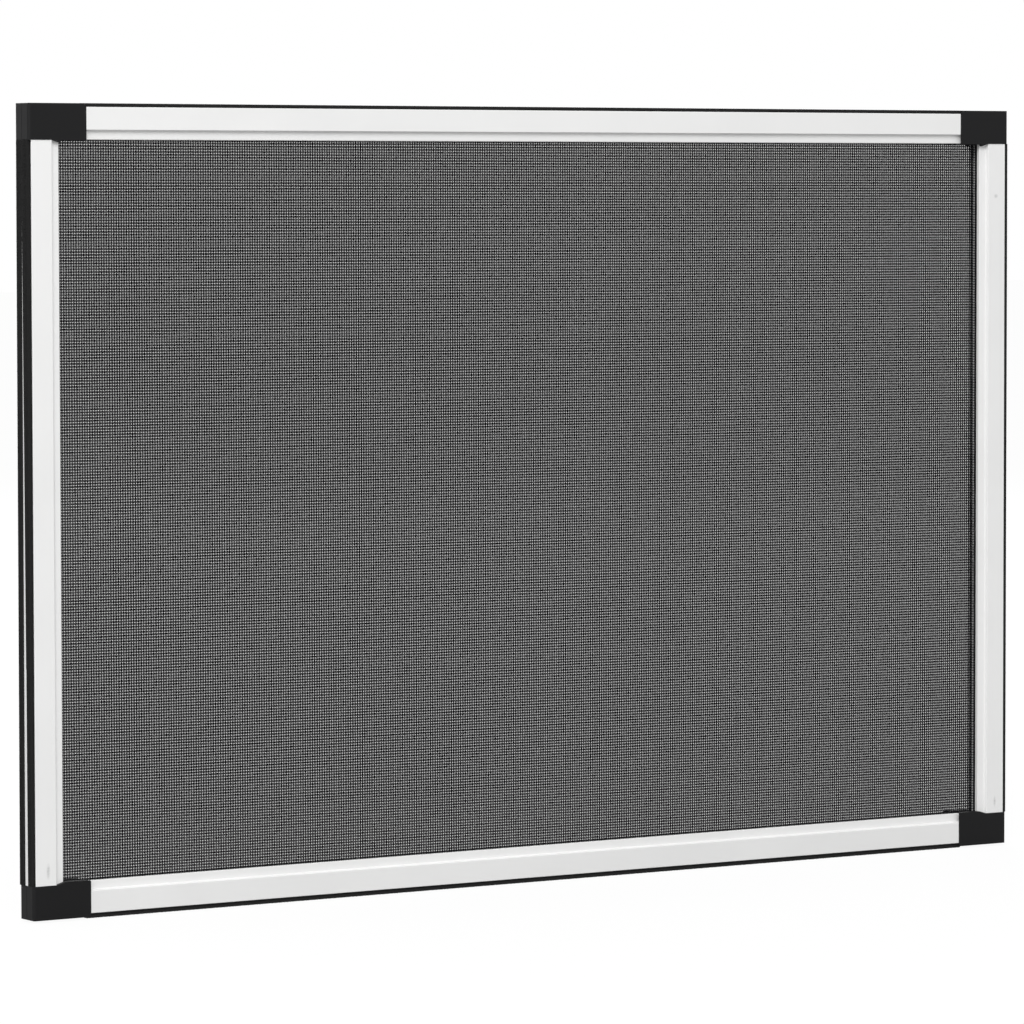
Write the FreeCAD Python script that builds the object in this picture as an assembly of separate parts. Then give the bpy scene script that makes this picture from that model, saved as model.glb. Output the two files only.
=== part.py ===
import FreeCAD, Part
import math
import os

# Extendable window insect screen, shown closed. Two identical framed panels stand back to back, and the
# rear one is the front one turned half a turn about Z. Each panel is four aluminium profiles joined by
# black corner blocks, with a pile brush in its outer edge, and a net held in a groove at the back by a
# round cord. The two blocks at one end of each panel carry a key that runs in the slotted rails of the
# other panel, so that the rear panel slides out along +X.
# Sizes are in millimetres. The origin is the bottom centre of the closed screen, +Z is up, and the side
# towards the room faces -Y. In an outline, w runs inwards from the panel's outer edge and v backwards
# from its front face.

CLOSED_WIDTH = 750.0
HEIGHT = 500.0
# What the panels still share when the screen is drawn out all the way.
OVERLAP = 70.0
PANEL_GAP = 0.3

PANEL_DEPTH = 8.4
FRONT_WALL = 1.1
BACK_WALL = 1.3
WEB = 1.1
FACE_EDGE = 2.2
FACE_WIDTH = 14.0
STEP_DEPTH = 2.6
STEP_SLOPE = 0.7
LIP_WIDTH = 5.3
LIP_WALL_DEPTH = 2.5
EDGE_RADIUS = 0.4

BRUSH_LIP_INSET = 0.8
BRUSH_LIP_WIDTH = 0.8
BRUSH_LIP_REACH = 0.7
BRUSH_BACKING = 1.4
BRUSH_CLEARANCE = 0.08
BRUSH_TIP_RADIUS = 0.6

SLOT_CENTRE = 11.0
SLOT_WIDTH = 4.0

GROOVE_WIDTH = 3.2
CORD_CLEARANCE = 0.1

NET_THICKNESS = 0.4
NET_WALL = 0.2
NET_BORDER = 2.5
THREAD_WIDTH = 1.2
# The net's cells stand in groups, and one cell of each group is open.
GAP_COLUMNS = 12
GAP_ROWS = 8
CELLS_PER_COLUMN = 4
CELLS_PER_ROW = 4
OPEN_CELL = 1

BLOCK_LENGTH = 40.0
BLOCK_HEIGHT = 22.8
BLOCK_PROUD = 0.3
BLOCK_EDGE_RADIUS = 2.0
BLOCK_CORNER_RADIUS = 0.5
BLOCK_INNER_RADIUS = 1.0
# A block's cover laps over the end of the rail, and the stile's end stands in a seat below the block's top.
COVER_LAP = 2.0
BOTTOM_SEAT = 21.2
TOP_SEAT = 22.4
EAR_RISE = 1.6
EAR_RADIUS = 0.3
TONGUE_CLEARANCE = 0.15
TONGUE_THICKNESS = 2.3
TONGUE_TIP = 4.0
TONGUE_TAPER = 0.8
TONGUE_THINNING = 0.4
# How deep the roots of tongues and keys lie in their block.
ROOT_DEPTH = 1.0
RAIL_TONGUE = 30.0
STILE_TONGUE = 20.0

KEY_HEAD_WIDTH = 8.0
KEY_HEAD_THICKNESS = 2.4
KEY_HEAD_RADIUS = 2.0
KEY_CLEARANCE = 0.3
END_WALL = 4.0
STOP_GAP = 0.3

# Places that follow from the sizes above.
HALF_WIDTH = CLOSED_WIDTH / 2
FRONT_Y = -PANEL_GAP / 2 - PANEL_DEPTH
BODY_LENGTH = BLOCK_LENGTH - COVER_LAP
RAIL_HALF = HALF_WIDTH - BODY_LENGTH
BACK_INSIDE = PANEL_DEPTH - BACK_WALL
FACE_END = FACE_EDGE + FACE_WIDTH
LIP_START = FACE_END + STEP_SLOPE
LIP_END = LIP_START + LIP_WIDTH
NET_FRONT = STEP_DEPTH + LIP_WALL_DEPTH
NET_BACK = NET_FRONT + NET_THICKNESS
NET_WALL_FRONT = NET_FRONT + (NET_THICKNESS - NET_WALL) / 2
GROOVE_FLOOR = STEP_DEPTH + FRONT_WALL
GROOVE_INNER = LIP_END - FRONT_WALL
GROOVE_OUTER = GROOVE_INNER - GROOVE_WIDTH
HEM_INNER = GROOVE_INNER - NET_THICKNESS
BRUSH_LIP_START = FACE_EDGE + BRUSH_LIP_INSET
BRUSH_LIP_END = BRUSH_LIP_START + BRUSH_LIP_WIDTH
BRUSH_POCKET_END = BRUSH_LIP_END + BRUSH_BACKING + 2 * BRUSH_CLEARANCE
CHAMBER_START = BRUSH_POCKET_END + WEB
CHAMBER_FRONT_END = FACE_END - WEB
CHAMBER_BACK_END = GROOVE_OUTER - WEB
SLOT_START = SLOT_CENTRE - SLOT_WIDTH / 2
SLOT_END = SLOT_CENTRE + SLOT_WIDTH / 2
KEY_HEAD_BACK = BACK_INSIDE - KEY_CLEARANCE
KEY_HEAD_FRONT = KEY_HEAD_BACK - KEY_HEAD_THICKNESS
KEY_START = END_WALL + STOP_GAP
KEY_END = OVERLAP - BODY_LENGTH - STOP_GAP


def rounded_wire(corners, place):
    """Closed wire through (w, v, radius) corners, where place turns w and v into a point in space."""
    points = [place(w, v) for w, v, radius in corners]
    edges = []
    spans = []
    for index, point in enumerate(points):
        radius = corners[index][2]
        if radius == 0:
            spans.append((point, point))
            continue
        before = (points[index - 1] - point).normalize()
        after = (points[(index + 1) % len(points)] - point).normalize()
        half_angle = before.getAngle(after) / 2
        reach = radius / math.tan(half_angle)
        inwards = (before + after).normalize() * (radius / math.sin(half_angle) - radius)
        start = point + before * reach
        end = point + after * reach
        edges.append(Part.Arc(start, point + inwards, end).toShape())
        spans.append((start, end))
    for index, span in enumerate(spans):
        edges.append(Part.LineSegment(spans[index - 1][1], span[0]).toShape())
    return Part.Wire(Part.__sortEdges__(edges))


def along_x(corners, start, end):
    """A bottom-edge section, with w upwards, drawn out between two X places."""
    wire = rounded_wire(corners, lambda w, v: FreeCAD.Vector(start, FRONT_Y + v, w))
    return Part.Face(wire).extrude(FreeCAD.Vector(end - start, 0, 0))


def along_z(corners, start, end):
    """A left-edge section, with w towards +X, drawn out between two heights."""
    wire = rounded_wire(corners, lambda w, v: FreeCAD.Vector(w - HALF_WIDTH, FRONT_Y + v, start))
    return Part.Face(wire).extrude(FreeCAD.Vector(0, 0, end - start))


def along_y(corners, start, end):
    """A shape seen from the front, by (u, w, radius) from the bottom left corner, drawn out in depth."""
    wire = rounded_wire(corners, lambda u, w: FreeCAD.Vector(u - HALF_WIDTH, FRONT_Y + start, w))
    return Part.Face(wire).extrude(FreeCAD.Vector(0, end - start, 0))


def rectangle(a0, b0, a1, b1, radius=0.0):
    """Four corners of a rectangle, all with one radius."""
    return [(a0, b0, radius), (a1, b0, radius), (a1, b1, radius), (a0, b1, radius)]


def block_box(u0, u1, v0, v1, w0, w1):
    """A box in the bottom left corner, by distance from the left edge, depth and distance from the bottom."""
    corner = FreeCAD.Vector(u0 - HALF_WIDTH, FRONT_Y + v0, w0)
    return Part.makeBox(u1 - u0, v1 - v0, w1 - w0, corner)


def to_top(shape):
    return shape.mirror(FreeCAD.Vector(0, 0, HEIGHT / 2), FreeCAD.Vector(0, 0, 1))


def to_right(shape):
    return shape.mirror(FreeCAD.Vector(0, 0, 0), FreeCAD.Vector(1, 0, 0))


def profile_outline():
    """Extruded profile: stepped face, brush pocket, hollow chamber with a back slot, and cord groove."""
    return [
        (FACE_EDGE, 0, EDGE_RADIUS),
        (FACE_END, 0, EDGE_RADIUS),
        (LIP_START, STEP_DEPTH, 0),
        (LIP_END, STEP_DEPTH, EDGE_RADIUS),
        (LIP_END, NET_FRONT, 0),
        (GROOVE_INNER, NET_FRONT, 0),
        (GROOVE_INNER, GROOVE_FLOOR, 0),
        (GROOVE_OUTER, GROOVE_FLOOR, 0),
        (GROOVE_OUTER, PANEL_DEPTH, 0),
        (SLOT_END, PANEL_DEPTH, 0),
        (SLOT_END, BACK_INSIDE, 0),
        (CHAMBER_BACK_END, BACK_INSIDE, 0),
        (CHAMBER_BACK_END, GROOVE_FLOOR, 0),
        (CHAMBER_FRONT_END, GROOVE_FLOOR, 0),
        (CHAMBER_FRONT_END, FRONT_WALL, 0),
        (CHAMBER_START, FRONT_WALL, 0),
        (CHAMBER_START, BACK_INSIDE, 0),
        (SLOT_START, BACK_INSIDE, 0),
        (SLOT_START, PANEL_DEPTH, 0),
        (0, PANEL_DEPTH, 0),
        (0, BACK_INSIDE, 0),
        (BRUSH_LIP_START, BACK_INSIDE, 0),
        (BRUSH_LIP_START, BACK_INSIDE - BRUSH_LIP_REACH, 0),
        (BRUSH_LIP_END, BACK_INSIDE - BRUSH_LIP_REACH, 0),
        (BRUSH_LIP_END, BACK_INSIDE, 0),
        (BRUSH_POCKET_END, BACK_INSIDE, 0),
        (BRUSH_POCKET_END, FRONT_WALL, 0),
        (BRUSH_LIP_END, FRONT_WALL, 0),
        (BRUSH_LIP_END, FRONT_WALL + BRUSH_LIP_REACH, 0),
        (BRUSH_LIP_START, FRONT_WALL + BRUSH_LIP_REACH, 0),
        (BRUSH_LIP_START, FRONT_WALL, 0),
        (FACE_EDGE, FRONT_WALL, 0),
    ]


def brush_outline():
    """Pile brush: backing strip behind the lips, neck between them, and pile spread to the panel's edge."""
    head_front = FRONT_WALL + BRUSH_CLEARANCE
    head_back = BACK_INSIDE - BRUSH_CLEARANCE
    neck_front = head_front + BRUSH_LIP_REACH
    neck_back = head_back - BRUSH_LIP_REACH
    head_base = BRUSH_LIP_START - BRUSH_CLEARANCE
    backing_start = BRUSH_LIP_END + BRUSH_CLEARANCE
    backing_end = BRUSH_POCKET_END - BRUSH_CLEARANCE
    return [
        (0, head_front, BRUSH_TIP_RADIUS),
        (head_base, head_front, 0),
        (head_base, neck_front, 0),
        (backing_start, neck_front, 0),
        (backing_start, head_front, 0),
        (backing_end, head_front, 0),
        (backing_end, head_back, 0),
        (backing_start, head_back, 0),
        (backing_start, neck_back, 0),
        (head_base, neck_back, 0),
        (head_base, head_back, 0),
        (0, head_back, BRUSH_TIP_RADIUS),
    ]


def tongue(root, length, turned):
    """Tapered tongue from a block's end, along X, or along Z if turned, which fills a profile's front."""
    low = CHAMBER_START + TONGUE_CLEARANCE
    high = CHAMBER_FRONT_END - TONGUE_CLEARANCE
    front = FRONT_WALL + TONGUE_CLEARANCE

    def section(distance, taper, thinning):
        corners = rectangle(low + taper, front + thinning, high - taper, front + TONGUE_THICKNESS - thinning)
        if turned:
            return rounded_wire(corners, lambda w, v: FreeCAD.Vector(w - HALF_WIDTH, FRONT_Y + v, distance))
        return rounded_wire(corners, lambda w, v: FreeCAD.Vector(distance - HALF_WIDTH, FRONT_Y + v, w))

    shoulder = section(root + length - TONGUE_TIP, 0, 0)
    straight = Part.makeLoft([section(root - ROOT_DEPTH, 0, 0), shoulder], True)
    tip = Part.makeLoft([shoulder, section(root + length, TONGUE_TAPER, TONGUE_THINNING)], True)
    return straight.fuse(tip)


def lip_ear(seat):
    """Slanted ear beside a block's seat, which laps over the end of the stile's lip."""
    corners = [(LIP_START, seat, 0), (LIP_END, seat, 0), (LIP_END, seat + EAR_RISE, EAR_RADIUS)]
    return along_y(corners, -BLOCK_PROUD, STEP_DEPTH)


def corner_body(seat):
    """Bottom left corner block: rounded cover with its ear, two tongues, and a corner of the cord groove."""
    plan = rectangle(0, -BLOCK_PROUD, BLOCK_LENGTH, PANEL_DEPTH)
    plan[0] = (0, -BLOCK_PROUD, BLOCK_EDGE_RADIUS)
    face = rectangle(0, 0, BLOCK_LENGTH, BLOCK_HEIGHT)
    face[0] = (0, 0, BLOCK_CORNER_RADIUS)
    face[2] = (BLOCK_LENGTH, BLOCK_HEIGHT, BLOCK_INNER_RADIUS)
    cover = along_z(plan, 0, BLOCK_HEIGHT).common(along_y(face, -BLOCK_PROUD, PANEL_DEPTH))
    rail_groove = block_box(GROOVE_OUTER, BLOCK_LENGTH, GROOVE_FLOOR, PANEL_DEPTH,
                            GROOVE_OUTER, GROOVE_INNER)
    stile_groove = block_box(GROOVE_OUTER, GROOVE_INNER, GROOVE_FLOOR, PANEL_DEPTH,
                             GROOVE_OUTER, BLOCK_HEIGHT)
    net_seat = block_box(GROOVE_INNER, BLOCK_LENGTH, NET_FRONT, PANEL_DEPTH, GROOVE_INNER, BLOCK_HEIGHT)
    rail_room = block_box(BODY_LENGTH, BLOCK_LENGTH, 0, PANEL_DEPTH, 0, BLOCK_HEIGHT)
    stile_room = block_box(0, LIP_END, -BLOCK_PROUD, PANEL_DEPTH, seat, BLOCK_HEIGHT)
    body = cover.cut([rail_groove, stile_groove, net_seat, rail_room, stile_room])
    rail_tongue = tongue(BODY_LENGTH, RAIL_TONGUE, False)
    stile_tongue = tongue(seat, STILE_TONGUE, True)
    return body.fuse([lip_ear(seat), rail_tongue, stile_tongue])


def slotted_corner(seat):
    """Corner block whose blind slot takes the other panel's key when the screen is closed."""
    half_pocket = KEY_HEAD_WIDTH / 2 + KEY_CLEARANCE
    pocket = block_box(END_WALL, BLOCK_LENGTH, KEY_HEAD_FRONT - KEY_CLEARANCE, BACK_INSIDE,
                       SLOT_CENTRE - half_pocket, SLOT_CENTRE + half_pocket)
    slit = block_box(END_WALL, BLOCK_LENGTH, BACK_INSIDE, PANEL_DEPTH, SLOT_START, SLOT_END)
    return corner_body(seat).cut([pocket, slit]).removeSplitter()


def keyed_corner(seat):
    """Corner block with a T-shaped key on its back, which runs in the other panel's slotted rail."""
    head_start = PANEL_DEPTH + PANEL_GAP + PANEL_DEPTH - KEY_HEAD_BACK
    head_end = head_start + KEY_HEAD_THICKNESS
    half_neck = SLOT_WIDTH / 2 - KEY_CLEARANCE
    neck = along_y(rectangle(KEY_START, SLOT_CENTRE - half_neck, KEY_END, SLOT_CENTRE + half_neck),
                   PANEL_DEPTH - ROOT_DEPTH, head_start)
    half_head = KEY_HEAD_WIDTH / 2
    plate = rectangle(KEY_START, SLOT_CENTRE - half_head, KEY_END, SLOT_CENTRE + half_head, KEY_HEAD_RADIUS)
    head = along_y(plate, head_start, head_end)
    return corner_body(seat).fuse([neck, head]).removeSplitter()


def held_cord():
    """Round cord pressed into the groove all the way round, mitred where it turns the corners."""
    radius = (GROOVE_WIDTH - NET_THICKNESS - CORD_CLEARANCE) / 2
    inset = GROOVE_OUTER + radius
    depth = GROOVE_FLOOR + NET_THICKNESS + radius
    reach_x = HALF_WIDTH - GROOVE_OUTER
    reach_z = HEIGHT / 2 - GROOVE_OUTER
    middle = FreeCAD.Vector(0, FRONT_Y + depth, HEIGHT / 2)
    low = Part.makeCylinder(radius, 2 * reach_x, FreeCAD.Vector(-reach_x, middle.y, inset),
                            FreeCAD.Vector(1, 0, 0))
    side = Part.makeCylinder(radius, 2 * reach_z, FreeCAD.Vector(inset - HALF_WIDTH, middle.y, GROOVE_OUTER),
                             FreeCAD.Vector(0, 0, 1))
    inner_corner = FreeCAD.Vector(-reach_x + reach_z, middle.y, middle.z)
    corners = [FreeCAD.Vector(-reach_x, middle.y, GROOVE_OUTER), inner_corner,
               FreeCAD.Vector(-reach_x, middle.y, HEIGHT - GROOVE_OUTER)]
    wedge = Part.Face(Part.makePolygon(corners + corners[:1])).extrude(FreeCAD.Vector(0, 2 * radius, 0))
    wedge.translate(FreeCAD.Vector(0, -radius, 0))
    left = side.common(wedge)
    bottom = low.cut([wedge, to_right(wedge)])
    return left.fuse([bottom, to_right(left), to_top(bottom)]).removeSplitter()


def net_frame(edge, inner_edge, front, back):
    """A flat ring between two distances from the panel's edge, and between two depths."""
    outer = block_box(edge, CLOSED_WIDTH - edge, front, back, edge, HEIGHT - edge)
    inner = block_box(inner_edge, CLOSED_WIDTH - inner_edge, front, back, inner_edge, HEIGHT - inner_edge)
    return outer.cut(inner)


def net_loop(left, right, bottom, top):
    """A rectangle on the front of the net's wall, by distance from the panel's left and bottom edges."""
    place = FreeCAD.Vector(-HALF_WIDTH, FRONT_Y + NET_WALL_FRONT, 0)
    corners = ((left, bottom), (right, bottom), (right, top), (left, top), (left, bottom))
    return Part.makePolygon([place + FreeCAD.Vector(u, 0, w) for u, w in corners])


def net():
    """Net: a thin wall with threads raised on both faces, gaps through it, and a hem in the groove."""
    low = HEM_INNER + NET_BORDER
    right = CLOSED_WIDTH - low
    top = HEIGHT - low
    columns = GAP_COLUMNS * CELLS_PER_COLUMN
    rows = GAP_ROWS * CELLS_PER_ROW
    half_thread = THREAD_WIDTH / 2
    upright_places = [low + (right - low) * count / columns for count in range(columns + 1)]
    level_places = [low + (top - low) * count / rows for count in range(rows + 1)]

    loops = [net_loop(low, right, low, top)]
    for column in range(OPEN_CELL, columns, CELLS_PER_COLUMN):
        sides = upright_places[column] + half_thread, upright_places[column + 1] - half_thread
        for row in range(OPEN_CELL, rows, CELLS_PER_ROW):
            ends = level_places[row] + half_thread, level_places[row + 1] - half_thread
            loops.append(net_loop(*sides, *ends))
    wall = Part.makeFace(loops, "Part::FaceMakerBullseye").extrude(FreeCAD.Vector(0, NET_WALL, 0))

    uprights = [block_box(place - half_thread, place + half_thread, NET_FRONT, NET_WALL_FRONT, low, top)
                for place in upright_places[1:-1]]
    levels = [block_box(low, right, NET_WALL_FRONT + NET_WALL, NET_BACK,
                        place - half_thread, place + half_thread)
              for place in level_places[1:-1]]
    border = net_frame(HEM_INNER, low, NET_FRONT, NET_BACK)
    hem_side = net_frame(HEM_INNER, GROOVE_INNER, GROOVE_FLOOR, NET_FRONT)
    hem_foot = net_frame(GROOVE_OUTER, HEM_INNER, GROOVE_FLOOR, GROOVE_FLOOR + NET_THICKNESS)
    return wall.fuse(uprights + levels + [border, hem_side, hem_foot])


def front_panel():
    """All pieces of the front panel, by name without the panel's own prefix."""
    rail = along_x(profile_outline(), -RAIL_HALF, RAIL_HALF)
    stile = along_z(profile_outline(), BOTTOM_SEAT, HEIGHT - TOP_SEAT)
    level_brush = along_x(brush_outline(), -RAIL_HALF, RAIL_HALF)
    upright_brush = along_z(brush_outline(), BOTTOM_SEAT, HEIGHT - TOP_SEAT)
    return {
        "bottom_rail": rail,
        "top_rail": to_top(rail),
        "left_stile": stile,
        "right_stile": to_right(stile),
        "bottom_brush": level_brush,
        "top_brush": to_top(level_brush),
        "left_brush": upright_brush,
        "right_brush": to_right(upright_brush),
        "bottom_left_corner": slotted_corner(BOTTOM_SEAT),
        "top_left_corner": to_top(slotted_corner(TOP_SEAT)),
        "bottom_right_corner": to_right(keyed_corner(BOTTOM_SEAT)),
        "top_right_corner": to_right(to_top(keyed_corner(TOP_SEAT))),
        "net": net(),
        "net_cord": held_cord(),
    }


def turned_name(name):
    """The name of a piece once the panel has turned half a turn about Z."""
    if "left" in name:
        return name.replace("left", "right")
    return name.replace("right", "left")


def main():
    os.makedirs("parts", exist_ok=True)
    for name, shape in front_panel().items():
        shape.exportStep("parts/front_" + name + ".step")
        turned = shape.rotated(FreeCAD.Vector(0, 0, 0), FreeCAD.Vector(0, 0, 1), 180)
        turned.exportStep("parts/rear_" + turned_name(name) + ".step")


main()
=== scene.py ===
import math
import random

import bmesh
import bpy
from mathutils import Matrix, Vector


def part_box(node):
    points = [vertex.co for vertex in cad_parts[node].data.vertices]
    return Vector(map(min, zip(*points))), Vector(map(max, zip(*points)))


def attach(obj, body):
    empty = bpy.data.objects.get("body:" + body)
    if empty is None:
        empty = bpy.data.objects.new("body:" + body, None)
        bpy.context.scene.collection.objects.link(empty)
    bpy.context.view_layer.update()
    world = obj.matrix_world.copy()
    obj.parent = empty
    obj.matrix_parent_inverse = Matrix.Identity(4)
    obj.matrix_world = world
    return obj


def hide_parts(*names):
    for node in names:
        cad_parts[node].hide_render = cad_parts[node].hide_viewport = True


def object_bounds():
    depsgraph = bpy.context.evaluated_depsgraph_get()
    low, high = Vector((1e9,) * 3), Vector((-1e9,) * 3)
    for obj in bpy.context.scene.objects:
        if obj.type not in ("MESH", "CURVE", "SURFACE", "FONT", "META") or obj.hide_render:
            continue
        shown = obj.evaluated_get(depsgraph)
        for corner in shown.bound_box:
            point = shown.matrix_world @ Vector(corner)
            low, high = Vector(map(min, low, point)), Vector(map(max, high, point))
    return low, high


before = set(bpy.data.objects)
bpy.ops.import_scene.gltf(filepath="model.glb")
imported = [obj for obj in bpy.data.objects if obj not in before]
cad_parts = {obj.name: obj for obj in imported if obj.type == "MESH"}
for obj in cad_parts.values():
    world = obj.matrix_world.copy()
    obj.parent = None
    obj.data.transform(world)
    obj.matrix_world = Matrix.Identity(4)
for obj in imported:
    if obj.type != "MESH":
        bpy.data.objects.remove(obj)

bl_info = {
    "name": "Window Insect Screen",
    "version": (1, 0, 0),
    "blender": (4, 5, 0),
    "location": "View3D > Sidebar > Screen",
    "description": "Weaves the nets, sets the brushes and finishes the profiles of a sliding window screen",
    "category": "Object",
}

MM = 0.001
CAD_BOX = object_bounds()
PANELS = ("front", "rear")
# The way from a panel's front face to its back, along Y.
INWARDS = {"front": 1.0, "rear": -1.0}
# For each side of a panel, the quarter turns about Y from the bottom, and which length of brush it takes.
SIDES = {"bottom": (0, "rail"), "left": (1, "stile"), "top": (2, "rail"), "right": (3, "stile")}

# The nets' middle planes lie this far from Y = 0.
NET_PLANE = 3.25 * MM
# Their hems turn down beside the lip and out along the groove.
HEM_DROP = 1.4 * MM
HEM_FOOT = 3.0 * MM
HEM_CENTRE = Vector((3.0 * MM, 0, 3.0 * MM))
# The flat sides of a pressed thread take this share of its width.
THREAD_FLAT = 0.65
# How far the lip reaches over the net past its hem.
LIP_LAP = 1.3 * MM
# The front net's last threads bunch up beside the lip: some uprights on each side, the first this far from
# the lip, and a level at the top, this many hem steps from it.
BUNCH_UPRIGHTS = 3
BUNCH_START = 0.1 * MM
BUNCH_LEVEL = 1.25

# How far the soft tips of the piles stand out of the frame.
TIPS_OUT = {"bottom": 1.1 * MM, "left": 0.7 * MM, "top": 0.15 * MM, "right": 1.1 * MM}
# The left ones are then eased to this, at the lower and at the upper end of each panel's pile.
LEFT_OUT = {"front": (0.1 * MM, 0.7 * MM), "rear": (1.1 * MM, 0.35 * MM)}
# The dense core of a pile takes these shares of the tufts' height and of their width at the tips.
CORE_HEIGHT = 0.94
CORE_WIDTH = 0.98
# A tuft's radius at its tip and at its root, in tuft widths.
TUFT_TIP = 0.42
TUFT_ROOT = 0.5
# The shortest and the longest tuft, in pile heights, and the most that one leans across and along its brush.
TUFT_LENGTHS = (0.965, 1.0)
TUFT_LEAN = 0.05
TUFT_SWAY = 0.09
# A tuft stands between these shares of the step from its row to the next.
TUFT_PLACES = (0.1, 0.9)
# Rows of tufts that are placed at random, before their batch repeats along the brush.
BATCH_ROWS = 40
# Points of a left pile no deeper than this are its tips.
TIP_DEPTH = 0.2 * MM
# They stay this far from the plane between the panels.
PILE_CLEARANCE = 0.1 * MM
# The left tufts are fully spread this share of the way from the spread height to their upper end.
SPREAD_END = 0.625

# Marks that use has left on the front panel's stiles: the middle and the half size of each.
SCUFFS = (
    ((-0.3644, -0.0087, 0.0300), (0.0018, 0.004, 0.0065)),
    ((0.3651, -0.0087, 0.4423), (0.0022, 0.004, 0.0020)),
    ((0.3656, -0.0087, 0.0290), (0.0013, 0.004, 0.0050)),
)

# Name, place, aim, side and power of each soft lamp.
LAMPS = (
    ("key", (-2.2, -3.0, 3.1), (0, 0, 0.25), 2.4, 132),
    ("side", (-4.2, -0.6, 1.4), (-0.3, 0, 0.25), 1.6, 22),
    ("back", (1.8, 3.4, 2.6), (0, 0, 0.25), 2.4, 70),
)
# The floor's size, how far it lies below the solids, and its greys: what lights the object, what takes its
# shadow for the camera, and the share of plain white over that.
FLOOR_SIZE = 40
FLOOR_DROP = 1.3 * MM
FLOOR_LIT = 0.36
FLOOR_SHOWN = 0.92
FLOOR_GLOW = 0.93
# The width of the camera's sensor in millimetres, and how far it sees.
SENSOR_WIDTH = 36
VIEW_END = 100


class NetSizes(bpy.types.PropertyGroup):
    """Sizes of the two nets."""
    pitch: bpy.props.FloatProperty(
        name="Thread Pitch", description="From one thread to the next",
        default=1.755 * MM, unit="LENGTH", precision=5)
    thread_width: bpy.props.FloatProperty(
        name="Thread Width", description="Width of a coated thread",
        default=0.58 * MM, unit="LENGTH", precision=5)
    thread_depth: bpy.props.FloatProperty(
        name="Thread Depth", description="Thickness of a coated thread, pressed flat in the weave",
        default=0.3 * MM, unit="LENGTH", precision=5)
    layer_offset: bpy.props.FloatProperty(
        name="Layer Offset", description="How far the two sets of threads lie from the middle of the net",
        default=0.04 * MM, unit="LENGTH", precision=5)
    unevenness: bpy.props.FloatProperty(
        name="Unevenness", description="How far a thread usually lies from its even place",
        default=0.015 * MM, unit="LENGTH", precision=5)
    rear_lay: bpy.props.FloatVectorProperty(
        name="Rear Lay",
        description="How far the rear uprights and levels show beside the front ones, in pitches",
        default=(0.40, 0.38), size=2)
    hem_step: bpy.props.FloatProperty(
        name="Hem Step", description="From one thread to the next where they bunch up beside the lip",
        default=0.6 * MM, unit="LENGTH", precision=5)


class BrushSizes(bpy.types.PropertyGroup):
    """Sizes of the pile brushes."""
    pile_width: bpy.props.FloatProperty(
        name="Pile Width", description="Width of the pile at its tips",
        default=5.84 * MM, unit="LENGTH", precision=4)
    neck_width: bpy.props.FloatProperty(
        name="Neck Width", description="Width of the pile between the lips of its pocket",
        default=4.3 * MM, unit="LENGTH", precision=4)
    pile_height: bpy.props.FloatProperty(
        name="Pile Height", description="From the tips of the pile to the front of its backing strip",
        default=3.88 * MM, unit="LENGTH", precision=4)
    spread_height: bpy.props.FloatProperty(
        name="Spread Height", description="Height above which the left tufts spread over the back walls",
        default=300 * MM, unit="LENGTH")
    backing_depth: bpy.props.FloatProperty(
        name="Backing Depth", description="Thickness of the backing strip",
        default=1.4 * MM, unit="LENGTH", precision=4)
    tuft_width: bpy.props.FloatProperty(
        name="Tuft Width", description="Width of a tuft at its root",
        default=0.72 * MM, unit="LENGTH", precision=5)
    row_step: bpy.props.FloatProperty(
        name="Row Step", description="From one row of tufts to the next",
        default=0.5 * MM, unit="LENGTH", precision=5)
    row_tufts: bpy.props.IntProperty(
        name="Tufts per Row", description="Tufts side by side in a row", default=9)


class FinishColours(bpy.types.PropertyGroup):
    """Base colours of the finishes."""
    coat: bpy.props.FloatVectorProperty(
        name="Powder Coat", description="White of the coated profiles",
        default=(0.842, 0.842, 0.837), subtype="COLOR", size=3)
    plastic: bpy.props.FloatVectorProperty(
        name="Corner Plastic", description="Black of the moulded corner blocks",
        default=(0.008, 0.008, 0.0085), subtype="COLOR", size=3)
    pile: bpy.props.FloatVectorProperty(
        name="Pile", description="Black of the brush pile",
        default=(0.012, 0.012, 0.012), subtype="COLOR", size=3)
    thread: bpy.props.FloatVectorProperty(
        name="Net Thread", description="Dark grey of the coated net threads",
        default=(0.016, 0.016, 0.017), subtype="COLOR", size=3)
    cord: bpy.props.FloatVectorProperty(
        name="Net Cord", description="Light grey of the soft cord that holds the net",
        default=(0.75, 0.75, 0.75), subtype="COLOR", size=3)


class StageSettings(bpy.types.PropertyGroup):
    """Camera and light."""
    eye: bpy.props.FloatVectorProperty(
        name="Camera Place", description="Where the camera stands",
        default=(-1.949, -3.002, 0.443), subtype="TRANSLATION", size=3)
    turn: bpy.props.FloatProperty(
        name="Turn", description="Turn of the view from straight ahead towards the right",
        default=math.radians(32.713), subtype="ANGLE")
    pitch: bpy.props.FloatProperty(
        name="Pitch", description="Tilt of the view above level",
        default=math.radians(-3.268), subtype="ANGLE")
    roll: bpy.props.FloatProperty(
        name="Roll", description="Turn of the picture about the view",
        default=math.radians(-0.104), subtype="ANGLE")
    focal_length: bpy.props.FloatProperty(
        name="Focal Length", description="Lens of the camera in millimetres",
        default=194.63, subtype="DISTANCE_CAMERA")
    ambient: bpy.props.FloatProperty(
        name="Ambient Light", description="Strength of the even light from all round",
        default=0.75)


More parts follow.
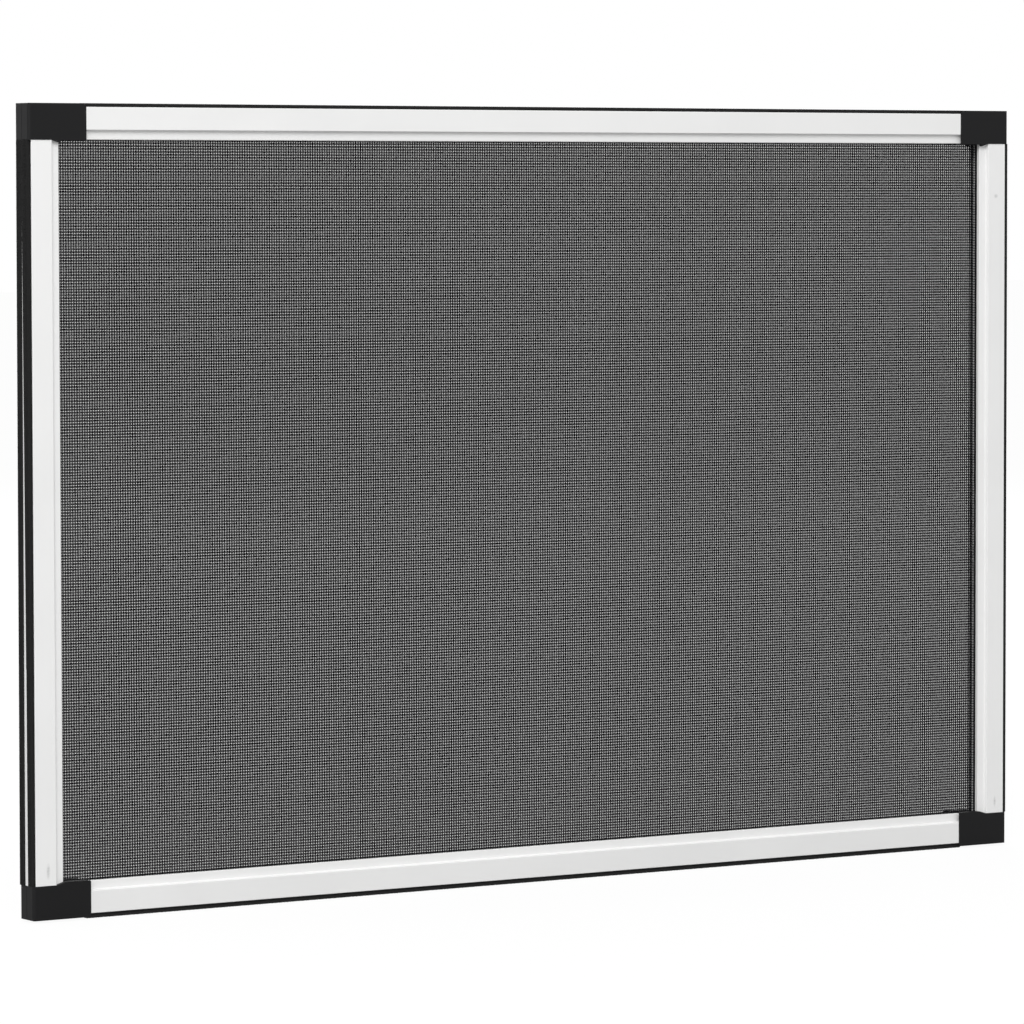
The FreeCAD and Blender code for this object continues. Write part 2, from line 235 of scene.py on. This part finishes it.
class Value:
    """A number that varies over a surface. Sums and products of values add their own Math nodes."""

    def __init__(self, finish, socket):
        self.finish = finish
        self.socket = socket

    def _math(self, operation, first, second):
        return self.finish.node("ShaderNodeMath", {"operation": operation}, 0, first, second)

    def __add__(self, other):
        return self._math("ADD", self, other)

    def __radd__(self, other):
        return self._math("ADD", other, self)

    def __rsub__(self, other):
        return self._math("SUBTRACT", other, self)

    def __mul__(self, other):
        return self._math("MULTIPLY", self, other)

    def __rmul__(self, other):
        return self._math("MULTIPLY", other, self)

    def over(self, low, high):
        """0 up to low and 1 from high, with a smooth step between them."""
        smooth = {"interpolation_type": "SMOOTHSTEP"}
        return self.finish.node("ShaderNodeMapRange", smooth, 0, self, low, high)


class Finish:
    """A material with a Principled shader, whose other nodes all come from node()."""

    def __init__(self, name, colour, roughness, **fixed):
        self.material = bpy.data.materials.new(name)
        self.material.use_nodes = True
        self.tree = self.material.node_tree
        self.shader = self.tree.nodes["Principled BSDF"]
        self.shader.inputs["Base Color"].default_value = (*colour, 1)
        self.shader.inputs["Roughness"].default_value = roughness
        for socket, value in fixed.items():
            self.shader.inputs[socket.replace("_", " ")].default_value = value
        self.place = self.node("ShaderNodeTexCoord", {}, "Object")

    def node(self, kind, settings, output, *inputs, **named_inputs):
        """Adds a node with its settings, and feeds its sockets by order or by name. Returns one output."""
        made = self.tree.nodes.new(kind)
        for name, value in settings.items():
            setattr(made, name, value)
        for key, value in [*enumerate(inputs), *((k.replace("_", " "), v) for k, v in named_inputs.items())]:
            self.feed(made.inputs[key], value)
        return Value(self, made.outputs[output])

    def feed(self, socket, value):
        if isinstance(value, Value):
            self.tree.links.new(value.socket, socket)
        else:
            socket.default_value = value

    def noise(self, scale, detail):
        return self.node("ShaderNodeTexNoise", {}, "Fac", Vector=self.place, Scale=scale, Detail=detail)

    def mix(self, mask, first, second):
        """A colour between two colours."""
        made = self.tree.nodes.new("ShaderNodeMix")
        made.data_type = "RGBA"
        self.feed(made.inputs["Factor"], mask)
        self.feed(made.inputs["A"], first if isinstance(first, Value) else (*first, 1))
        self.feed(made.inputs["B"], second if isinstance(second, Value) else (*second, 1))
        return Value(self, made.outputs["Result"])

    def set(self, socket, value):
        self.feed(self.shader.inputs[socket], value)

    def bump(self, height, strength, distance):
        bumped = self.node("ShaderNodeBump", {}, 0, Strength=strength, Distance=distance, Height=height)
        self.set("Normal", bumped)


def darker(colour, share):
    """A colour times a share, which may also be above 1."""
    return tuple(part * share for part in colour)


def scuff(finish, mark):
    """1 in the middle of a mark on the front panel's face and 0 around it."""
    middle, half_size = mark
    offset = finish.node("ShaderNodeVectorMath", {"operation": "SUBTRACT"}, 0, finish.place, middle)
    offset = finish.node("ShaderNodeVectorMath", {"operation": "DIVIDE"}, 0, offset, half_size)
    distance = finish.node("ShaderNodeVectorMath", {"operation": "LENGTH"}, "Value", offset)
    return 1 - distance.over(0.1, 1.0)


def powder_coat():
    colours = bpy.context.scene.screen_colours
    finish = Finish("powder_coat", colours.coat, 0.42, Specular_IOR_Level=0.42)
    cloud = finish.noise(scale=14.0, detail=3.0)
    speckle = finish.noise(scale=700.0, detail=2.0)
    peel = finish.noise(scale=900.0, detail=2.0)
    marks = sum(scuff(finish, mark) for mark in SCUFFS)
    coat = finish.mix(cloud.over(0.35, 0.7), colours.coat, darker(colours.coat, 0.975))
    finish.set("Base Color", finish.mix(marks * speckle, coat, darker(colours.coat, 0.5)))
    finish.set("Roughness", 0.36 + 0.1 * cloud + 0.05 * peel + 0.2 * marks)
    finish.bump(peel, strength=0.25, distance=0.02 * MM)
    return finish.material


def corner_plastic():
    colours = bpy.context.scene.screen_colours
    finish = Finish("corner_plastic", colours.plastic, 0.5, Specular_IOR_Level=0.17)
    grain = finish.noise(scale=2600.0, detail=2.0)
    cloud = finish.noise(scale=40.0, detail=2.0)
    finish.set("Base Color", finish.mix(cloud, colours.plastic, darker(colours.plastic, 1.25)))
    finish.set("Roughness", 0.44 + 0.12 * cloud)
    finish.bump(grain, strength=0.35, distance=0.03 * MM)
    return finish.material


def pile_fibre():
    colours = bpy.context.scene.screen_colours
    finish = Finish("pile_fibre", colours.pile, 0.8, Specular_IOR_Level=0.2)
    shade = finish.noise(scale=1500.0, detail=1.0)
    finish.set("Base Color", finish.mix(shade, darker(colours.pile, 0.6), darker(colours.pile, 1.5)))
    return finish.material


def net_thread():
    colours = bpy.context.scene.screen_colours
    finish = Finish("net_thread", colours.thread, 0.8, Specular_IOR_Level=0.0)
    shade = finish.noise(scale=60.0, detail=2.0)
    finish.set("Base Color", finish.mix(shade, darker(colours.thread, 0.85), darker(colours.thread, 1.15)))
    finish.set("Roughness", 0.7 + 0.2 * shade)
    return finish.material


def soft_cord():
    colours = bpy.context.scene.screen_colours
    finish = Finish("soft_cord", colours.cord, 0.7)
    rib = finish.node("ShaderNodeTexWave", {"bands_direction": "DIAGONAL"}, "Fac", Vector=finish.place,
                      Scale=900.0, Distortion=0.0)
    finish.bump(rib, strength=0.2, distance=0.05 * MM)
    return finish.material


def only(piece):
    """Selects one object and makes it active."""
    bpy.ops.object.select_all(action="DESELECT")
    piece.select_set(True)
    bpy.context.view_layer.objects.active = piece


def finish_nodes(material, *words):
    """Gives a material to every node of both panels whose name ends with one of the words."""
    for name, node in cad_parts.items():
        if name.endswith(words):
            node.data.materials.clear()
            node.data.materials.append(material)


def apply_modifier(piece, kind, **settings):
    only(piece)
    modifier = piece.modifiers.new(kind.title(), kind)
    for name, value in settings.items():
        setattr(modifier, name, value)
    bpy.ops.object.modifier_apply(modifier=modifier.name)


def seal(piece):
    """Merges a piece's doubled points and turns its faces outwards."""
    only(piece)
    bpy.ops.object.mode_set(mode="EDIT")
    bpy.ops.mesh.select_all(action="SELECT")
    bpy.ops.mesh.remove_doubles(threshold=0.001 * MM)
    bpy.ops.mesh.normals_make_consistent(inside=False)
    bpy.ops.object.mode_set(mode="OBJECT")
    return piece


def to_origin(piece):
    only(piece)
    bpy.ops.object.transform_apply(location=True, rotation=True, scale=True)
    return piece


def copies(piece, places):
    """Copies of a piece, each with its own mesh moved to its place, joined into one piece."""
    bpy.ops.object.select_all(action="DESELECT")
    for place in places:
        copy = piece.copy()
        copy.data = piece.data.copy()
        copy.data.transform(place)
        bpy.context.collection.objects.link(copy)
        copy.select_set(True)
    bpy.context.view_layer.objects.active = copy
    bpy.data.objects.remove(piece)
    bpy.ops.object.join()
    return bpy.context.object


def straight_runs(name, points, closed=False):
    """A curve of straight runs through points."""
    curve = bpy.data.curves.new(name, "CURVE")
    curve.dimensions = "3D"
    run = curve.splines.new("POLY")
    run.points.add(len(points) - 1)
    for point, place in zip(run.points, points):
        point.co = (*place, 1)
    run.use_cyclic_u = closed
    piece = bpy.data.objects.new(name, curve)
    bpy.context.collection.objects.link(piece)
    return piece


def thread(name, half_span, sizes, inwards):
    """A flattened thread along X at the origin, whose ends turn down into the groove and out along it."""
    half_width, half_depth = sizes.thread_width / 2, sizes.thread_depth / 2
    flat = THREAD_FLAT * half_width
    section = straight_runs(name + "_section", [
        (0, half_width, 0), (half_depth, flat, 0), (half_depth, -flat, 0),
        (0, -half_width, 0), (-half_depth, -flat, 0), (-half_depth, flat, 0)], closed=True)
    foot = half_span + HEM_FOOT
    drop = -inwards * HEM_DROP
    piece = straight_runs(name, [(-foot, drop, 0), (-half_span, drop, 0), (-half_span, 0, 0),
                                 (half_span, 0, 0), (half_span, drop, 0), (foot, drop, 0)])
    piece.data.twist_mode = "Z_UP"
    piece.data.bevel_mode = "OBJECT"
    piece.data.bevel_object = section
    piece.data.use_fill_caps = True
    only(piece)
    bpy.ops.object.convert(target="MESH")
    bpy.data.objects.remove(section)
    return seal(bpy.context.object)


def thread_places(panel, low, high, eye, lay, scene, chance):
    """Places of a panel's threads along one axis. The rear ones are spaced so that from the camera they keep
    their place beside the front ones, as the photographed nets show no moire."""
    sizes = scene.screen_net
    pitch, first = sizes.pitch, low
    if panel == "rear":
        depth = -scene.screen_stage.eye.y
        spread = (depth + NET_PLANE) / (depth - NET_PLANE)
        first = eye + (low - eye) * spread
        pitch *= spread
        first += pitch * (lay + math.ceil((low - first) / pitch - lay))
    count = int((high - first) / pitch) + 1
    return [first + pitch * number + chance.gauss(0, sizes.unevenness) for number in range(count)]


def weave_net(panel, scene):
    """Both sets of threads of one net, from one side of its hem to the other."""
    sizes = scene.screen_net
    eye = scene.screen_stage.eye
    chance = random.Random(panel)
    low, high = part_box(panel + "_net")
    low, high = low + HEM_CENTRE, high - HEM_CENTRE
    inwards = INWARDS[panel]
    plane = -inwards * NET_PLANE
    offset = inwards * sizes.layer_offset
    middle = (low + high) / 2
    level = thread(panel + "_net_levels", (high.x - low.x) / 2, sizes, inwards)
    upright = thread(panel + "_net_uprights", (high.z - low.z) / 2, sizes, inwards)
    turned = Matrix.Rotation(math.pi / 2, 4, "Y")
    heights = thread_places(panel, low.z, high.z, eye.z, sizes.rear_lay[1], scene, chance)
    widths = thread_places(panel, low.x, high.x, eye.x, sizes.rear_lay[0], scene, chance)
    if panel == "front":
        heights.append(high.z - LIP_LAP - BUNCH_LEVEL * sizes.hem_step)
        for number in range(BUNCH_UPRIGHTS):
            inset = LIP_LAP + BUNCH_START + number * sizes.hem_step
            widths += [low.x + inset, high.x - inset]
    levels = copies(level, [Matrix.Translation((middle.x, plane + offset, z)) for z in heights])
    uprights = copies(upright, [Matrix.Translation((x, plane - offset, middle.z)) @ turned for x in widths])
    only(uprights)
    levels.select_set(True)
    bpy.ops.object.join()
    uprights.name = panel + "_woven_net"
    return uprights


class SCREEN_OT_nets(bpy.types.Operator):
    """Weave the net of each panel from flattened threads"""
    bl_idname = "screen.weave_nets"
    bl_label = "Weave Nets"

    def execute(self, context):
        material = net_thread()
        for panel in PANELS:
            net = weave_net(panel, context.scene)
            net.data.materials.clear()
            net.data.materials.append(material)
            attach(net, panel + "_panel")
            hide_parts(panel + "_net")
        return {"FINISHED"}


class SCREEN_OT_profiles(bpy.types.Operator):
    """Coat the rails and stiles white"""
    bl_idname = "screen.coat_profiles"
    bl_label = "Coat Profiles"

    def execute(self, context):
        finish_nodes(powder_coat(), "_rail", "_stile")
        return {"FINISHED"}


class SCREEN_OT_corners(bpy.types.Operator):
    """Give the corner blocks their moulded black finish"""
    bl_idname = "screen.finish_corners"
    bl_label = "Finish Corner Blocks"

    def execute(self, context):
        finish_nodes(corner_plastic(), "_corner")
        return {"FINISHED"}


def pick(piece, inside):
    """Selects the faces of a piece in edit mode whose middle passes a test."""
    bpy.ops.mesh.select_mode(type="FACE")
    bpy.ops.mesh.select_all(action="DESELECT")
    shape = bmesh.from_edit_mesh(piece.data)
    for face in shape.faces:
        face.select_set(inside(face.calc_center_median()))
    bmesh.update_edit_mesh(piece.data)


def brush_core(length, sizes):
    """The backing strip and the dense middle of the pile, along X, with the tips' plane at Z = 0."""
    backing_middle = sizes.pile_height + sizes.backing_depth / 2
    bpy.ops.object.select_all(action="DESELECT")
    bpy.ops.mesh.primitive_cube_add(size=1, location=(0, 0, backing_middle))
    core = bpy.context.object
    bpy.ops.object.mode_set(mode="EDIT")
    bpy.ops.transform.resize(value=(length, sizes.pile_width, sizes.backing_depth),
                             center_override=(0, 0, backing_middle))
    pick(core, lambda middle: middle.z < -sizes.backing_depth / 4)
    bpy.ops.mesh.extrude_region_move()
    bpy.ops.transform.resize(value=(1, sizes.neck_width / sizes.pile_width, 1), center_override=(0, 0, 0))
    reach = (0, 0, -CORE_HEIGHT * sizes.pile_height)
    bpy.ops.mesh.extrude_region_move(TRANSFORM_OT_translate={"value": reach})
    fan = CORE_WIDTH * sizes.pile_width / sizes.neck_width
    bpy.ops.transform.resize(value=(1, fan, 1), center_override=(0, 0, 0))
    bpy.ops.object.mode_set(mode="OBJECT")
    return to_origin(core)


def lengthen(brush, out, sizes):
    """Lets the pile reach further out from its backing."""
    for point in brush.data.vertices:
        if point.co.z < sizes.pile_height:
            point.co.z -= out * (1 - point.co.z / sizes.pile_height)


def spread(brush, low, high, outs, sizes):
    """Lets the tips of an upright pile on the left stand out unevenly, and spreads them over the back wall
    towards their top. The core has points at its two ends alone, so it widens evenly all the way up."""
    middle = (low.y + high.y) / 2
    reach = 2 * (abs(middle) - PILE_CLEARANCE) / sizes.pile_width - 1
    spread_span = SPREAD_END * (high.z - sizes.spread_height)
    for point in brush.data.vertices:
        if point.co.x > low.x + TIP_DEPTH:
            continue
        rise = (point.co.z - low.z) / (high.z - low.z)
        point.co.x += TIPS_OUT["left"] - outs[0] - (outs[1] - outs[0]) * rise
        share = (point.co.z - sizes.spread_height) / spread_span
        across = 1 - abs(point.co.y / middle)
        if across > 0 and share > 0:
            point.co.y = middle * (1 - across * (1 + reach * min(1, share)))


def tuft_rows(step, sizes, chance):
    """A batch of rows of tufts that fan out from the neck and differ a little in length, lean and sway."""
    bpy.ops.object.select_all(action="DESELECT")
    bpy.ops.mesh.primitive_cone_add(
        vertices=3, radius1=TUFT_TIP * sizes.tuft_width, radius2=TUFT_ROOT * sizes.tuft_width,
        depth=sizes.pile_height, location=(0, 0, -sizes.pile_height / 2))
    tuft = to_origin(bpy.context.object)
    fan = math.atan2((sizes.pile_width - sizes.neck_width) / 2, sizes.pile_height)
    half_neck = (sizes.neck_width - sizes.tuft_width) / 2
    places = []
    for row in range(BATCH_ROWS):
        for column in range(sizes.row_tufts):
            side = 2 * column / (sizes.row_tufts - 1) - 1
            along = step * (row + chance.uniform(*TUFT_PLACES))
            root = Vector((along, side * half_neck, sizes.pile_height))
            lean = Matrix.Rotation(side * fan + chance.uniform(-TUFT_LEAN, TUFT_LEAN), 4, "X")
            sway = Matrix.Rotation(chance.uniform(-TUFT_SWAY, TUFT_SWAY), 4, "Y")
            spin = Matrix.Rotation(chance.uniform(0, math.tau), 4, "Z")
            size = Matrix.Diagonal((1, 1, chance.uniform(*TUFT_LENGTHS), 1))
            places.append(Matrix.Translation(root) @ lean @ sway @ size @ spin)
    return copies(tuft, places)


def pile_brush(name, length, sizes):
    """A pile brush along X, with its tips at Z = 0 and its backing above them."""
    batches = round(length / (BATCH_ROWS * sizes.row_step))
    step = length / (batches * BATCH_ROWS)
    tufts = tuft_rows(step, sizes, random.Random(name))
    apply_modifier(tufts, "ARRAY", count=batches, use_relative_offset=False, use_constant_offset=True,
                   constant_offset_displace=(BATCH_ROWS * step, 0, 0))
    tufts.data.transform(Matrix.Translation((-length / 2, 0, 0)))
    core = brush_core(length, sizes)
    only(core)
    tufts.select_set(True)
    bpy.ops.object.join()
    core.name = name
    return core


def set_brush(panel, side, piles, material, sizes):
    """Copies a pile into its pocket on one side of a panel, in place of the solid."""
    node = panel + "_" + side + "_brush"
    quarter, kind = SIDES[side]
    low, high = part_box(node)
    middle = (low + high) / 2
    tips = {"bottom": (middle.x, middle.y, low.z), "left": (low.x, middle.y, middle.z),
            "top": (middle.x, middle.y, high.z), "right": (high.x, middle.y, middle.z)}[side]
    brush = piles[kind].copy()
    brush.data = piles[kind].data.copy()
    lengthen(brush, TIPS_OUT[side], sizes)
    turn = Matrix.Rotation(quarter * math.pi / 2, 4, "Y")
    brush.data.transform(Matrix.Translation(tips) @ turn)
    if side == "left":
        spread(brush, low, high, LEFT_OUT[panel], sizes)
    brush.name = panel + "_" + side + "_pile"
    brush.data.materials.clear()
    brush.data.materials.append(material)
    bpy.context.collection.objects.link(brush)
    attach(brush, panel + "_panel")
    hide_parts(node)


class SCREEN_OT_brushes(bpy.types.Operator):
    """Set the pile brushes into the outer pockets of the profiles"""
    bl_idname = "screen.set_brushes"
    bl_label = "Set Brushes"

    def execute(self, context):
        sizes = context.scene.screen_brushes
        material = pile_fibre()
        low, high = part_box("front_bottom_brush")
        piles = {"rail": pile_brush("rail_pile", high.x - low.x, sizes)}
        low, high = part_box("front_left_brush")
        piles["stile"] = pile_brush("stile_pile", high.z - low.z, sizes)
        for panel in PANELS:
            for side in SIDES:
                set_brush(panel, side, piles, material, sizes)
        for pile in piles.values():
            bpy.data.objects.remove(pile)
        return {"FINISHED"}


class SCREEN_OT_cords(bpy.types.Operator):
    """Give the net cords their soft ribbed finish"""
    bl_idname = "screen.finish_cords"
    bl_label = "Finish Net Cords"

    def execute(self, context):
        finish_nodes(soft_cord(), "_cord")
        return {"FINISHED"}


def world_light(stage):
    """Even light from all round, and plain white for what the camera, gloss or glass sees."""
    world = bpy.data.worlds.new("studio")
    bpy.context.scene.world = world
    world.use_nodes = True
    tree = world.node_tree
    tree.nodes.clear()
    rays = tree.nodes.new("ShaderNodeLightPath")
    seen = tree.nodes.new("ShaderNodeMath")
    seen.operation = "MAXIMUM"
    seen_or_gloss = tree.nodes.new("ShaderNodeMath")
    seen_or_gloss.operation = "MAXIMUM"
    even = tree.nodes.new("ShaderNodeBackground")
    even.inputs["Color"].default_value = (1, 1, 1, 1)
    even.inputs["Strength"].default_value = stage.ambient
    white = tree.nodes.new("ShaderNodeBackground")
    white.inputs["Color"].default_value = (1, 1, 1, 1)
    mixed = tree.nodes.new("ShaderNodeMixShader")
    out = tree.nodes.new("ShaderNodeOutputWorld")
    tree.links.new(rays.outputs["Is Camera Ray"], seen.inputs[0])
    tree.links.new(rays.outputs["Is Transmission Ray"], seen.inputs[1])
    tree.links.new(seen.outputs[0], seen_or_gloss.inputs[0])
    tree.links.new(rays.outputs["Is Glossy Ray"], seen_or_gloss.inputs[1])
    tree.links.new(seen_or_gloss.outputs[0], mixed.inputs[0])
    tree.links.new(even.outputs[0], mixed.inputs[1])
    tree.links.new(white.outputs[0], mixed.inputs[2])
    tree.links.new(mixed.outputs[0], out.inputs[0])


def soft_lamp(name, place, aim, side, power):
    bpy.ops.object.light_add(type="AREA", location=place)
    lamp = bpy.context.object
    lamp.name = name
    lamp.data.shape = "SQUARE"
    lamp.data.size = side
    lamp.data.energy = power
    lamp.rotation_euler = (Vector(aim) - Vector(place)).to_track_quat("-Z", "Y").to_euler()


def pale_floor():
    """A floor that shows near white with the object's shadow, and throws less light back up than it shows."""
    bpy.ops.object.select_all(action="DESELECT")
    bpy.ops.mesh.primitive_plane_add(size=FLOOR_SIZE, location=(0, 0, CAD_BOX[0].z - FLOOR_DROP))
    floor = bpy.context.object
    floor.name = "floor"
    material = bpy.data.materials.new("floor_white")
    material.use_nodes = True
    tree = material.node_tree
    tree.nodes.clear()
    rays = tree.nodes.new("ShaderNodeLightPath")
    matt = tree.nodes.new("ShaderNodeBsdfDiffuse")
    matt.inputs["Color"].default_value = (FLOOR_LIT, FLOOR_LIT, FLOOR_LIT, 1)
    pale = tree.nodes.new("ShaderNodeBsdfDiffuse")
    pale.inputs["Color"].default_value = (FLOOR_SHOWN, FLOOR_SHOWN, FLOOR_SHOWN, 1)
    glow = tree.nodes.new("ShaderNodeEmission")
    shown = tree.nodes.new("ShaderNodeMixShader")
    shown.inputs[0].default_value = FLOOR_GLOW
    mixed = tree.nodes.new("ShaderNodeMixShader")
    out = tree.nodes.new("ShaderNodeOutputMaterial")
    tree.links.new(pale.outputs[0], shown.inputs[1])
    tree.links.new(glow.outputs[0], shown.inputs[2])
    tree.links.new(rays.outputs["Is Camera Ray"], mixed.inputs[0])
    tree.links.new(matt.outputs[0], mixed.inputs[1])
    tree.links.new(shown.outputs[0], mixed.inputs[2])
    tree.links.new(mixed.outputs[0], out.inputs[0])
    floor.data.materials.append(material)


class SCREEN_OT_stage(bpy.types.Operator):
    """Set the floor, light and camera"""
    bl_idname = "screen.set_stage"
    bl_label = "Set Stage"

    def execute(self, context):
        scene = context.scene
        stage = scene.screen_stage
        scene.view_settings.view_transform = "Standard"
        world_light(stage)
        for lamp in LAMPS:
            soft_lamp(*lamp)
        pale_floor()
        bpy.ops.object.camera_add()
        camera = context.object
        camera.data.sensor_width = SENSOR_WIDTH
        camera.data.lens = stage.focal_length
        camera.data.clip_end = VIEW_END
        turn = Matrix.Rotation(-stage.turn, 4, "Z") @ Matrix.Rotation(math.pi / 2 + stage.pitch, 4, "X")
        camera.matrix_world = Matrix.Translation(stage.eye) @ turn @ Matrix.Rotation(stage.roll, 4, "Z")
        scene.camera = camera
        return {"FINISHED"}


class SCREEN_PT_panel(bpy.types.Panel):
    """Steps and sizes of the window screen"""
    bl_label = "Window Screen"
    bl_idname = "SCREEN_PT_panel"
    bl_space_type = "VIEW_3D"
    bl_region_type = "UI"
    bl_category = "Screen"

    def draw(self, context):
        for group in GROUPS:
            settings = getattr(context.scene, group)
            for name in settings.__annotations__:
                self.layout.prop(settings, name)
        for step in STEPS:
            self.layout.operator(step.bl_idname)


GROUPS = {
    "screen_net": NetSizes,
    "screen_brushes": BrushSizes,
    "screen_colours": FinishColours,
    "screen_stage": StageSettings,
}
STEPS = (
    SCREEN_OT_profiles,
    SCREEN_OT_corners,
    SCREEN_OT_brushes,
    SCREEN_OT_cords,
    SCREEN_OT_nets,
    SCREEN_OT_stage,
)


def register():
    for name, group in GROUPS.items():
        bpy.utils.register_class(group)
        setattr(bpy.types.Scene, name, bpy.props.PointerProperty(type=group))
    for made in (*STEPS, SCREEN_PT_panel):
        bpy.utils.register_class(made)


def unregister():
    for made in reversed((*STEPS, SCREEN_PT_panel)):
        bpy.utils.unregister_class(made)
    for name, group in reversed(GROUPS.items()):
        delattr(bpy.types.Scene, name)
        bpy.utils.unregister_class(group)


def main():
    register()
    bpy.ops.screen.coat_profiles()
    bpy.ops.screen.finish_corners()
    bpy.ops.screen.set_brushes()
    bpy.ops.screen.finish_cords()
    bpy.ops.screen.weave_nets()
    bpy.ops.screen.set_stage()


if __name__ == "__main__":
    main()
